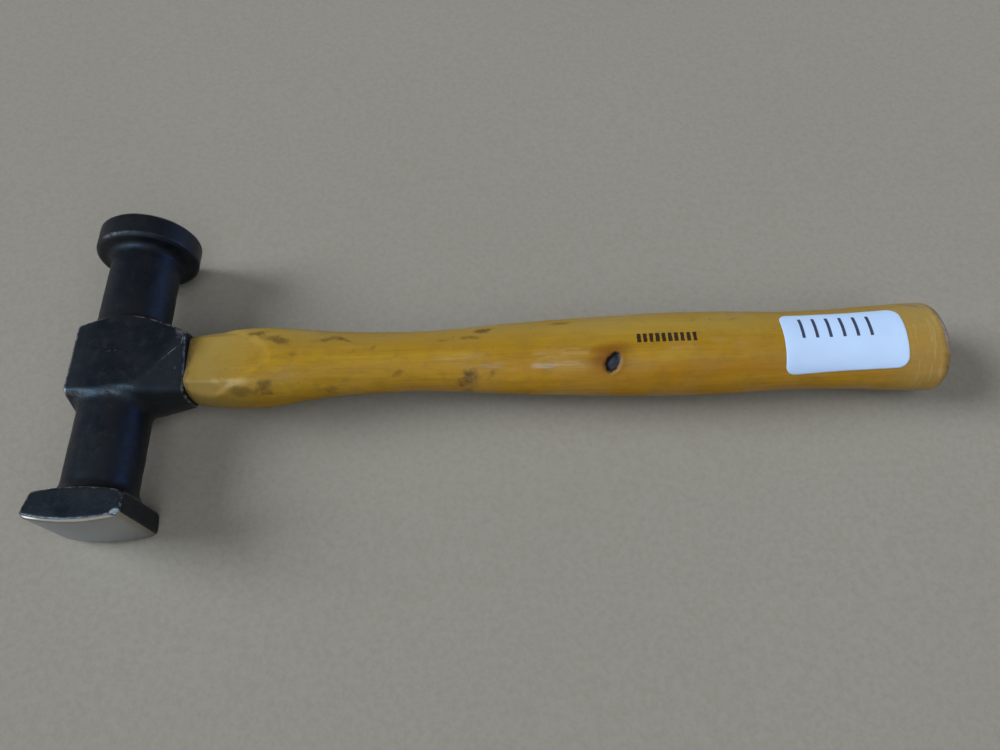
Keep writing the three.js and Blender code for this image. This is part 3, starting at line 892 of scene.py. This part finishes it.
def blackened_steel():
    """Dark oxide with brown and blue patches, a painted reflection towards the eye end, bare metal along
    the edges, and polished faces.
    """
    shader = Shader("blackened_steel")
    patches = shader.noise(70, 5, roughness=0.6)
    speckle = shader.noise(1600, 2)
    scale_marks = shader.noise(300, 4, roughness=0.65)
    edge = shader.attribute("edge")
    oxide = shader.mix(shader.between(patches, 0.4, 0.62), OXIDE_BLUE, OXIDE_BROWN)
    oxide = shader.mix(shader.between(scale_marks, 0.52, 0.7, 0.0, 0.7), oxide, OXIDE_SCALE)
    # painted reflection: the block is made paler towards its eye end, where its cheek looks lighter
    eye_end_reflection = shader.between(shader.axis("X"), -0.003, -0.013, 0.0, 0.6)
    on_block = shader.between(shader.math("ABSOLUTE", shader.axis("Y")), 0.019, 0.016)
    oxide = shader.mix(shader.times(eye_end_reflection, on_block), oxide, EYE_END_PAINTED_REFLECTION)
    worn = worn_steel(shader, edge)
    colour = shader.mix(worn, oxide, shader.mix(speckle, *BARE_STEEL))
    polished = polished_area(shader)
    polish_scratches = shader.noise(60, 3, stretch=(1, 1, 30))
    colour = shader.mix(polished, colour, shader.mix(polish_scratches, *POLISHED_STEEL))
    roughness = shader.between(patches, 0.35, 0.65, 0.42, 0.55)
    roughness = shader.math("ADD", roughness, shader.between(speckle, 0.3, 0.7, -0.05, 0.06))
    roughness = shader.math("SUBTRACT", roughness, shader.between(edge, 0.1, 0.8, 0.0, 0.14))
    smooth = shader.between(polish_scratches, 0.3, 0.7, 0.16, 0.24)
    keep = shader.math("SUBTRACT", 1.0, polished)
    roughness = shader.math("ADD", shader.times(roughness, keep), shader.times(smooth, polished))
    rough_skin = shader.bump(shader.times(scale_marks, keep), 0.00022, 0.6)
    return shader.finish(
        Base_Color=colour,
        Metallic=shader.larger(polished, shader.times(worn, 0.9)),
        Roughness=roughness,
        Normal=shader.bump(shader.times(speckle, keep), 0.00006, 0.5, rough_skin),
        Specular_IOR_Level=0.4,
        Specular_Tint=OXIDE_TINT,
    )


def worn_steel(shader, edge):
    """Where the oxide is rubbed off: edges, most of all the eye block's, scratches and the ding."""
    broken = shader.between(shader.noise(420, 5, roughness=0.7), 0.40, 0.62)
    by_place = shader.between(shader.math("ABSOLUTE", shader.axis("Y")), 0.021, 0.018, 0.42, 0.95)
    worn = shader.times(shader.times(shader.between(edge, 0.3, 1.0), broken), by_place)
    for centre, half_length, turn in CHEEK_SCRATCHES:
        line = shader.spot((*centre, 12), (half_length, 0.16, 30), math.radians(turn))
        faint = shader.times(shader.between(line, 1.15, 0.5), 0.5)
        worn = shader.larger(worn, shader.times(faint, broken))
    worn = shader.larger(worn, shader.between(shader.spot(DING_CENTRE, DING_SPOT), 1.0, 0.6))
    for centre, half_sizes, share in RUBBED_EDGES:
        spot = shader.between(shader.spot(centre, half_sizes), 1.0, 0.3, 0.0, share)
        worn = shader.larger(worn, shader.times(spot, broken))
    return worn


def polished_area(shader):
    """1 on the square face with its bevel and on the round face, 0 elsewhere."""
    y = shader.axis("Y")
    from_centre = shader.math("SUBTRACT", y, (SQUARE_POLE_Y + SQUARE_CROWN_RADIUS) * MM)
    flat = shader.add("CombineXYZ", {0: shader.axis("X"), 1: from_centre}).outputs[0]
    reach = shader.add("VectorMath", {0: flat}, operation="LENGTH").outputs["Value"]
    edge = (SQUARE_CROWN_RADIUS - SQUARE_BEVEL) * MM
    square = shader.between(reach, edge + 0.00014, edge + 0.00032)
    square = shader.times(square, shader.math("LESS_THAN", y, -0.058))
    round_face = shader.between(y, (ROUND_FACE_Y - 0.75) * MM, (ROUND_FACE_Y - 0.5) * MM)
    return shader.larger(square, round_face)


def varnished_hickory():
    """Amber varnish over fine lengthwise grain, with dirt in the dents and a dark knot."""
    shader = Shader("varnished_hickory")
    bands = shader.noise(1, 4, stretch=(9, 95, 95), distortion=0.4)
    grain = shader.noise(1, 5, stretch=(22, 620, 620), roughness=0.65)
    patches = shader.noise(32, 3)
    ragged = shader.noise(260, 5, roughness=0.75)
    x = shader.axis("X")
    colour = hickory_grain(shader, bands, grain)
    colour = worn_varnish_and_near_shade(shader, colour, x, patches, ragged)
    colour = wood_dirt_and_far_sheen(shader, colour, x, ragged)
    colour, in_pit = knot_wood(shader, colour, bands, ragged)
    colour = shader.mix(printed_bars(shader, STAMP, ragged), colour, STAMP_INK)
    colour, butt_end = butt_wood(shader, colour, x, patches, ragged)
    tenon_end = shader.between(x, TENON_END_X * MM + 0.0006, TENON_END_X * MM + 0.0002)
    colour = shader.mix(tenon_end, colour, TENON_END)
    gloss = shader.between(shader.noise(1, 3, stretch=(48, 75, 75)), 0.44, 0.56, 0.03, 0.62)
    gloss = shader.times(gloss, shader.math("SUBTRACT", 1.0, butt_end))
    gloss = shader.times(gloss, shader.between(x, 0.052, 0.078))
    waves = shader.bump(bands, 0.0009, 0.35)
    fine = shader.bump(grain, 0.00022, 0.45, waves)
    coat_normal = shader.bump(shader.noise(1, 3, stretch=(60, 330, 330)), 0.00045, 0.6, waves)
    return shader.finish(
        Base_Color=colour,
        Roughness=shader.between(ragged, 0.3, 0.7, 0.38, 0.55),
        Normal=fine,
        Specular_IOR_Level=0.12,
        Coat_Weight=shader.times(gloss, shader.between(in_pit, 0.0, 1.0, 1.0, 0.4)),
        Coat_Roughness=0.2,
        Coat_Normal=coat_normal,
    )


def hickory_grain(shader, bands, grain):
    """Lengthwise bands with fine darker grain and pores."""
    pores = shader.noise(1, 3, stretch=(110, 2600, 2600))
    colour = shader.mix(shader.between(bands, 0.32, 0.68), *HICKORY_BANDS)
    colour = shader.mix(shader.between(grain, 0.35, 0.7, 0.0, 0.5), colour, HICKORY_GRAIN)
    return shader.mix(shader.between(pores, 0.60, 0.72, 0.0, 0.45), colour, HICKORY_PORES)


def worn_varnish_and_near_shade(shader, colour, x, patches, ragged):
    """The varnish is worn paler over the planed head end, and off the near edge of its top flat. The near
    side gets painted shade.
    """
    pale = shader.between(x, 0.066, 0.030)
    pale = shader.times(pale, shader.between(patches, 0.35, 0.62, 0.35, 0.95))
    colour = shader.mix(pale, colour, PALE_HEAD_END)
    # painted shade: the near side, which faces away from the light, is darkened and made more orange
    near_side_shade = shader.between(shader.axis("Y"), -0.002, -0.012)
    near_side_shade = shader.times(near_side_shade, shader.between(x, 0.060, 0.180, 0.25, 0.85))
    colour = shader.mix(near_side_shade, colour, NEAR_SIDE_PAINTED_SHADE, "MULTIPLY")
    crease = shader.jitter(shader.spot(*BARE_CREASE), ragged, 0.25)
    return shader.mix(shader.between(crease, 1.1, 0.0, 0.0, 0.7), colour, BARE_WOOD)


def butt_wood(shader, colour, x, patches, ragged):
    """Paler, scuffed wood towards the butt, and end grain on its worn end. Also gives where that is."""
    colour = shader.mix(shader.between(x, 0.285, 0.310, 0.0, 0.42), colour, FADED_BUTT)
    scuffs = shader.between(shader.noise(1, 4, stretch=(700, 90, 90), roughness=0.7), 0.52, 0.66)
    near_butt = shader.times(shader.between(x, 0.300, 0.309), shader.between(x, 0.3185, 0.3165))
    colour = shader.mix(shader.times(scuffs, shader.times(near_butt, 0.34)), colour, SCUFFS)
    end = shader.between(shader.jitter(x, ragged, 0.0012), 0.3165, 0.3200)
    end = shader.times(end, shader.between(patches, 0.3, 0.6, 0.7, 1.0))
    rings = shader.noise(1, 4, stretch=(40, 700, 160), roughness=0.7)
    end_colour = shader.mix(shader.between(rings, 0.4, 0.65), *END_GRAIN)
    return shader.mix(end, colour, end_colour), end


def wood_dirt_and_far_sheen(shader, colour, x, ragged):
    """Handling dirt: mottling all over, a line against the steel, and a smudge in each dent. The far side
    gets a painted sheen.
    """
    blotches = shader.noise(150, 4, roughness=0.65)
    colour = shader.mix(shader.between(blotches, 0.45, 0.70, 0.0, 0.5), colour, MOTTLING)
    # painted sheen: the far side is made paler, standing in for the reflection that is stronger there
    colour = shader.mix(shader.between(shader.axis("Y"), -0.003, 0.008, 0.0, 0.55), colour, FAR_SIDE_PAINTED_SHEEN)
    specks = shader.between(shader.noise(420, 4, roughness=0.6), 0.64, 0.74, 0.0, 0.45)
    colour = shader.mix(specks, colour, SPECKS)
    at_mouth = shader.between(shader.jitter(x, ragged, 0.001), 0.0305, 0.0278)
    colour = shader.mix(shader.times(at_mouth, 0.7), colour, DIRT_AT_MOUTH)
    for centre_x, centre_y, half_length, half_width, turn, _, dirt in DENTS:
        spot = shader.spot((centre_x, centre_y, 9), (half_length * 1.6, half_width * 1.6, 12), turn)
        spot = shader.jitter(shader.jitter(spot, blotches, 0.45), ragged, 0.3)
        mask = shader.times(shader.between(spot, 1.2, 0.1), 0.35 + 0.55 * dirt)
        colour = shader.mix(mask, colour, DIRT_IN_DENTS)
    return colour


def knot_wood(shader, colour, bands, ragged):
    """An orange-brown halo, a dark pit and a dark core whose cool grey is a painted reflection of its
    glossy centre. Also gives where the pit is.
    """
    x, y, half_length, half_width, turn = KNOT
    halo = shader.spot((x - 1.5, y + 1.0, 11), (12.0, 7.4, 12), math.radians(12))
    halo = shader.between(shader.jitter(halo, bands, 0.2), 1.05, 0.2, 0.0, 0.95)
    colour = shader.mix(halo, colour, KNOT_HALO)
    pit = shader.spot((x, y, 11), (half_length, half_width, 12), turn)
    pit = shader.jitter(pit, ragged, 0.12)
    in_pit = shader.between(pit, 1.1, 0.8)
    colour = shader.mix(in_pit, colour, KNOT_PIT)
    # painted reflection: the core is given a cool grey for the gloss on its centre
    return shader.mix(shader.between(pit, 0.75, 0.3), colour, KNOT_CORE_WITH_PAINTED_SHEEN), in_pit


def printed_bars(shader, row, ragged=None):
    """Where a row of plain upright bars is printed on the upper side, ragged if it has worn."""
    start, end, middle, half_height, pitch, share = row
    x = shader.math("DIVIDE", shader.axis("X"), MM)
    y = shader.math("DIVIDE", shader.axis("Y"), MM)
    phase = shader.math("FRACT", shader.math("DIVIDE", shader.math("SUBTRACT", x, start), pitch))
    from_bar = shader.math("ABSOLUTE", shader.math("SUBTRACT", phase, 0.5))
    if ragged:
        from_bar = shader.jitter(from_bar, ragged, 0.07)
    bar = shader.between(from_bar, share / 2 + 0.02, share / 2 - 0.02)
    from_row = shader.math("ABSOLUTE", shader.math("SUBTRACT", y, middle))
    in_row = shader.between(from_row, half_height + 0.1, half_height - 0.1)
    from_middle = shader.math("ABSOLUTE", shader.math("SUBTRACT", x, (start + end) / 2))
    in_length = shader.math("LESS_THAN", from_middle, (end - start) / 2)
    on_top = shader.math("GREATER_THAN", shader.axis("Z"), 0.003)
    mask = shader.times(bar, shader.times(in_row, in_length))
    return shader.times(mask, shader.times(on_top, 0.97))


def coated_paper():
    """Pale blue-white paper with faint fibres and a row of plain printed bars."""
    shader = Shader("coated_paper")
    fibres = shader.noise(900, 4, roughness=0.7)
    smudges = shader.between(shader.noise(45, 4), 0.5, 0.75, 0.0, 0.12)
    colour = shader.mix(smudges, shader.mix(fibres, *PAPER), PAPER_SMUDGES)
    colour = shader.mix(printed_bars(shader, LABEL_PRINT), colour, LABEL_INK)
    roughness = shader.between(fibres, 0.3, 0.7, 0.42, 0.55)
    return shader.finish(Base_Color=colour, Roughness=roughness, Normal=shader.bump(fibres, 0.00008, 0.4))


def wedge_wood():
    """Bare hardwood with close end grain."""
    shader = Shader("wedge_wood")
    grain = shader.noise(1, 4, stretch=(300, 240, 1500), roughness=0.7)
    colour = shader.mix(shader.between(grain, 0.35, 0.65), *WEDGE_WOOD)
    roughness = shader.between(grain, 0.3, 0.7, 0.6, 0.8)
    return shader.finish(Base_Color=colour, Roughness=roughness, Normal=shader.bump(grain, 0.0002, 0.6))


def wedge_steel():
    """Dull stamped steel with light rust in the low spots."""
    shader = Shader("wedge_steel")
    rust = shader.between(shader.noise(380, 5, roughness=0.7), 0.52, 0.66)
    return shader.finish(
        Base_Color=shader.mix(rust, WEDGE_STEEL, RUST),
        Metallic=shader.math("SUBTRACT", 1.0, rust),
        Roughness=shader.between(rust, 0.0, 1.0, 0.38, 0.8),
        Normal=shader.bump(shader.noise(900, 3), 0.0001, 0.6),
    )


def paper_floor():
    """Plain pale grey-brown paper, without gloss."""
    shader = Shader("paper_floor")
    fibres = shader.noise(420, 5, roughness=0.75)
    colour = shader.mix(shader.noise(5, 3), *FLOOR)
    colour = shader.mix(shader.between(fibres, 0.35, 0.7, 0.0, 0.5), colour, FLOOR_FIBRES)
    normal = shader.bump(fibres, 0.0003, 0.35)
    return shader.finish(Base_Color=colour, Roughness=0.85, Normal=normal, Specular_IOR_Level=0.0)


# ---- Stage ----


def stage_floor():
    cells = {"x_subdivisions": FLOOR_CELLS, "y_subdivisions": FLOOR_CELLS}
    bpy.ops.mesh.primitive_grid_add(size=2 * FLOOR_HALF_SIZE, **cells)
    floor = bpy.context.object
    floor.name = "floor"
    floor.data.materials.append(paper_floor())


def aimed_lamp(name, kind, place, energy, colour):
    """A lamp turned to the hammer."""
    data = bpy.data.lights.new(name, kind)
    data.energy = energy
    data.color = colour
    lamp = bpy.data.objects.new(name, data)
    lamp.location = place
    lamp.rotation_euler = (-Vector(place)).to_track_quat("-Z", "Y").to_euler()
    bpy.context.scene.collection.objects.link(lamp)
    return lamp


def far_window(name, place, strength, width, colour):
    """Soft even light from far off in one direction, width across as an angle, without a highlight."""
    lamp = aimed_lamp(name, "SUN", place, strength, colour)
    lamp.data.angle = width
    lamp.visible_glossy = False


def reflected_panel(name, place, size, power, colour):
    """A panel that only shows as a highlight."""
    lamp = aimed_lamp(name, "AREA", place, power, colour)
    lamp.data.shape = "RECTANGLE"
    lamp.data.size, lamp.data.size_y = size
    lamp.visible_diffuse = False


def soft_light():
    """Soft light from the left and from the front, and panels for the highlights."""
    far_window("left_window", (-1.6, 0.25, 0.95), 3.35, math.radians(30), (0.97, 0.98, 1.0))
    far_window("front_window", (0.5, -0.75, 1.3), 1.38, math.radians(60), (1.0, 0.98, 0.96))
    reflected_panel("strip_panel", (0.05, -0.07, 1.5), (1.7, 0.1), 2.2, (1.0, 0.98, 0.93))
    reflected_panel("near_panel", (-0.78, -0.57, 0.85), (0.6, 0.35), 13, (0.5, 0.78, 1.0))
    reflected_panel("low_panel", (-0.6, -1.0, 0.32), (0.9, 0.4), 0.45, (1.0, 1.0, 1.0))
    reflected_panel("corner_panel", (-0.95, -0.7, 0.3), (0.3, 0.4), 1.0, (0.80, 0.92, 1.0))
    reflected_panel("ding_panel", (0.02, -0.78, 1.12), (0.2, 0.2), 1.6, (0.35, 0.66, 1.0))
    reflected_panel("side_panel", (1.3, 0.35, 0.12), (0.6, 0.4), 7, (0.14, 0.36, 1.0))


def room():
    """A pale room, brightest towards the horizon."""
    world = bpy.data.worlds.new("room")
    world.use_nodes = True
    tree = world.node_tree
    direction = tree.nodes.new("ShaderNodeTexCoord")
    split = tree.nodes.new("ShaderNodeSeparateXYZ")
    tree.links.new(direction.outputs["Generated"], split.inputs[0])
    strength = tree.nodes.new("ShaderNodeMapRange")
    tree.links.new(split.outputs["Z"], strength.inputs["Value"])
    settings = {"From Min": 0.02, "From Max": 0.4, "To Min": HORIZON_STRENGTH, "To Max": SKY_STRENGTH}
    for name, value in settings.items():
        strength.inputs[name].default_value = value
    background = tree.nodes["Background"]
    background.inputs["Color"].default_value = ROOM_COLOUR
    tree.links.new(strength.outputs["Result"], background.inputs["Strength"])
    bpy.context.scene.world = world


def photo_camera():
    data = bpy.data.cameras.new("camera")
    data.lens = CAMERA_LENS
    data.sensor_width = SENSOR_WIDTH
    data.clip_start = 0.01
    camera = bpy.data.objects.new("camera", data)
    yaw = Matrix.Rotation(CAMERA_YAW, 4, "Z")
    tilt = Matrix.Rotation(math.pi / 2 - CAMERA_DOWN, 4, "X")
    roll = Matrix.Rotation(CAMERA_ROLL, 4, "Z")
    camera.matrix_world = Matrix.Translation(CAMERA_PLACE) @ yaw @ tilt @ roll
    bpy.context.scene.collection.objects.link(camera)
    bpy.context.scene.camera = camera


# ---- Build ----


def dress(piece, node, material):
    """Lays a finished piece where the hammer lies, gives it its material, attaches it to the root body and
    hides the CAD part that it replaces.
    """
    piece.data.transform(hammer_place())
    piece.data.materials.clear()
    piece.data.materials.append(material)
    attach(piece, "root")
    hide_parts(node)


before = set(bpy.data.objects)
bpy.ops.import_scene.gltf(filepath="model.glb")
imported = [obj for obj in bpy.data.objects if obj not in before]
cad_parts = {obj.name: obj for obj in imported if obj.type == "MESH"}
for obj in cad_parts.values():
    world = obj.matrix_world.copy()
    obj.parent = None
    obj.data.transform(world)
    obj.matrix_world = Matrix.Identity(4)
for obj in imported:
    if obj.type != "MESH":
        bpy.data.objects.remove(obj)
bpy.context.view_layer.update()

photo_camera()
stage_floor()
soft_light()
room()
bpy.context.scene.view_settings.view_transform = "Standard"

dress(hammer_head(), "hammer_head", blackened_steel())
dress(handle_wood(), "handle", varnished_hickory())
dress(wood_wedge(), "wood_wedge", wedge_wood())
steel = wedge_steel()
dress(steel_wedge(1, -1), "steel_wedge_1", steel)
dress(steel_wedge(2, 1), "steel_wedge_2", steel)
dress(paper_label(), "label", coated_paper())
